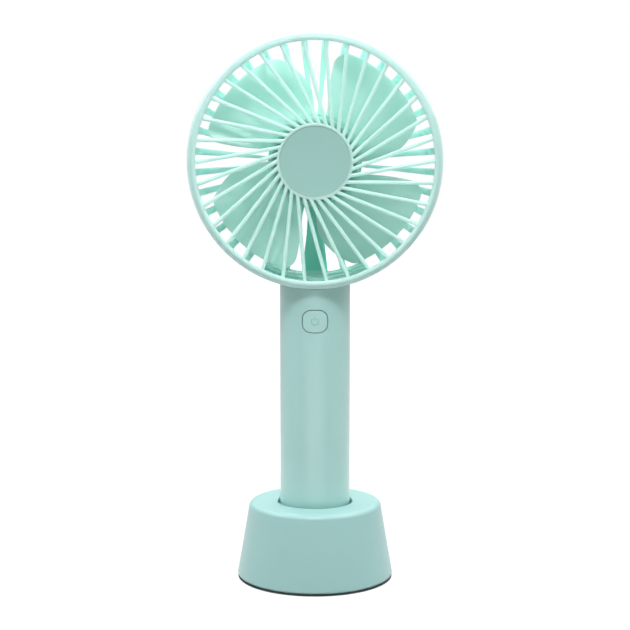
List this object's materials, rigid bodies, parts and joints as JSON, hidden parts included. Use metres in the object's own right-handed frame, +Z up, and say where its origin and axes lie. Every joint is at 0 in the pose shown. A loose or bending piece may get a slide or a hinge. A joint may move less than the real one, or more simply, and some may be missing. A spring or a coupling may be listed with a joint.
{
  "type": "handheld electric fan",
  "caption": "Handheld electric fan with a round caged head on a straight cylindrical handle, standing in a round tapered desk base.",
  "frame": {"origin": "centre of the underside of the desk base's foot pad", "axes": "+Z up along the handle, -Y towards the front, where the fan blows, +X to the right seen from the front"},
  "size_m": [0.102, 0.0646, 0.2237],
  "materials": {
    "handle_plastic": "satin, light mint green",
    "grille_plastic": "satin gloss, light mint green",
    "housing_plastic": "satin gloss, mint green",
    "blade_plastic": "satin gloss, slightly deeper mint green",
    "disc_plastic": "matte, greyed mint green",
    "base_plastic": "satin, light mint green",
    "foot_rubber": "matte black",
    "steel": "plain zinc-plated steel",
    "motor_steel": "plain drawn steel",
    "bushing_bronze": "sintered bronze",
    "black_plastic": "matte black",
    "board": "green circuit board",
    "battery_wrap": "blue shrink sleeve over a steel and foil cell",
    "nickel": "plain nickel strip",
    "light_pipe": "clear to milky plastic",
    "red_insulation": "red lead insulation",
    "black_insulation": "black lead insulation"
  },
  "bodies": {
    "base": {"base_shell": "base_plastic", "base_bottom_plate": "base_plastic", "base_screws": "steel", "foot_pad": "foot_rubber"},
    "fan": {"motor_bushings": "bushing_bronze", "motor_can": "motor_steel", "motor_end_cap": "black_plastic", "motor_screws": "steel", "rear_housing": "housing_plastic", "handle_front_shell": "handle_plastic", "handle_rear_shell": "handle_plastic", "handle_screws": "steel", "bottom_cap": "handle_plastic", "tact_switch": "black_plastic", "control_board": "board", "charge_board": "board", "usb_port": "steel", "usb_insert": "black_plastic", "charge_lights": "light_pipe", "battery_cell": "battery_wrap", "battery_tabs": "nickel", "motor_lead_red": "red_insulation", "motor_lead_black": "black_insulation", "charge_lead_red": "red_insulation", "charge_lead_black": "black_insulation"},
    "impeller": {"impeller": "blade_plastic", "motor_shaft": "steel"},
    "grille": {"front_grille": "grille_plastic", "grille_centre_disc": "disc_plastic"},
    "button": {"power_button": "handle_plastic", "switch_plunger": "black_plastic"}
  },
  "joints": [
    {"name": "fan_lift", "type": "slide", "parent": "base", "child": "fan", "axis": [0, 0, 1], "range_m": [0, 0.03]},
    {"name": "impeller_spin", "type": "hinge", "parent": "fan", "child": "impeller", "pos_m": [0, 0, 0.1727], "axis": [0, 1, 0], "continuous": true},
    {"name": "grille_twist", "type": "hinge", "parent": "fan", "child": "grille", "pos_m": [0, 0, 0.1727], "axis": [0, -1, 0], "range_deg": [0, 12]},
    {"name": "button_press", "type": "slide", "parent": "fan", "child": "button", "axis": [0, 1, 0], "range_m": [0, 0.0004], "stiffness_N_per_m": 2500, "springref_m": -0.0002}
  ]
}
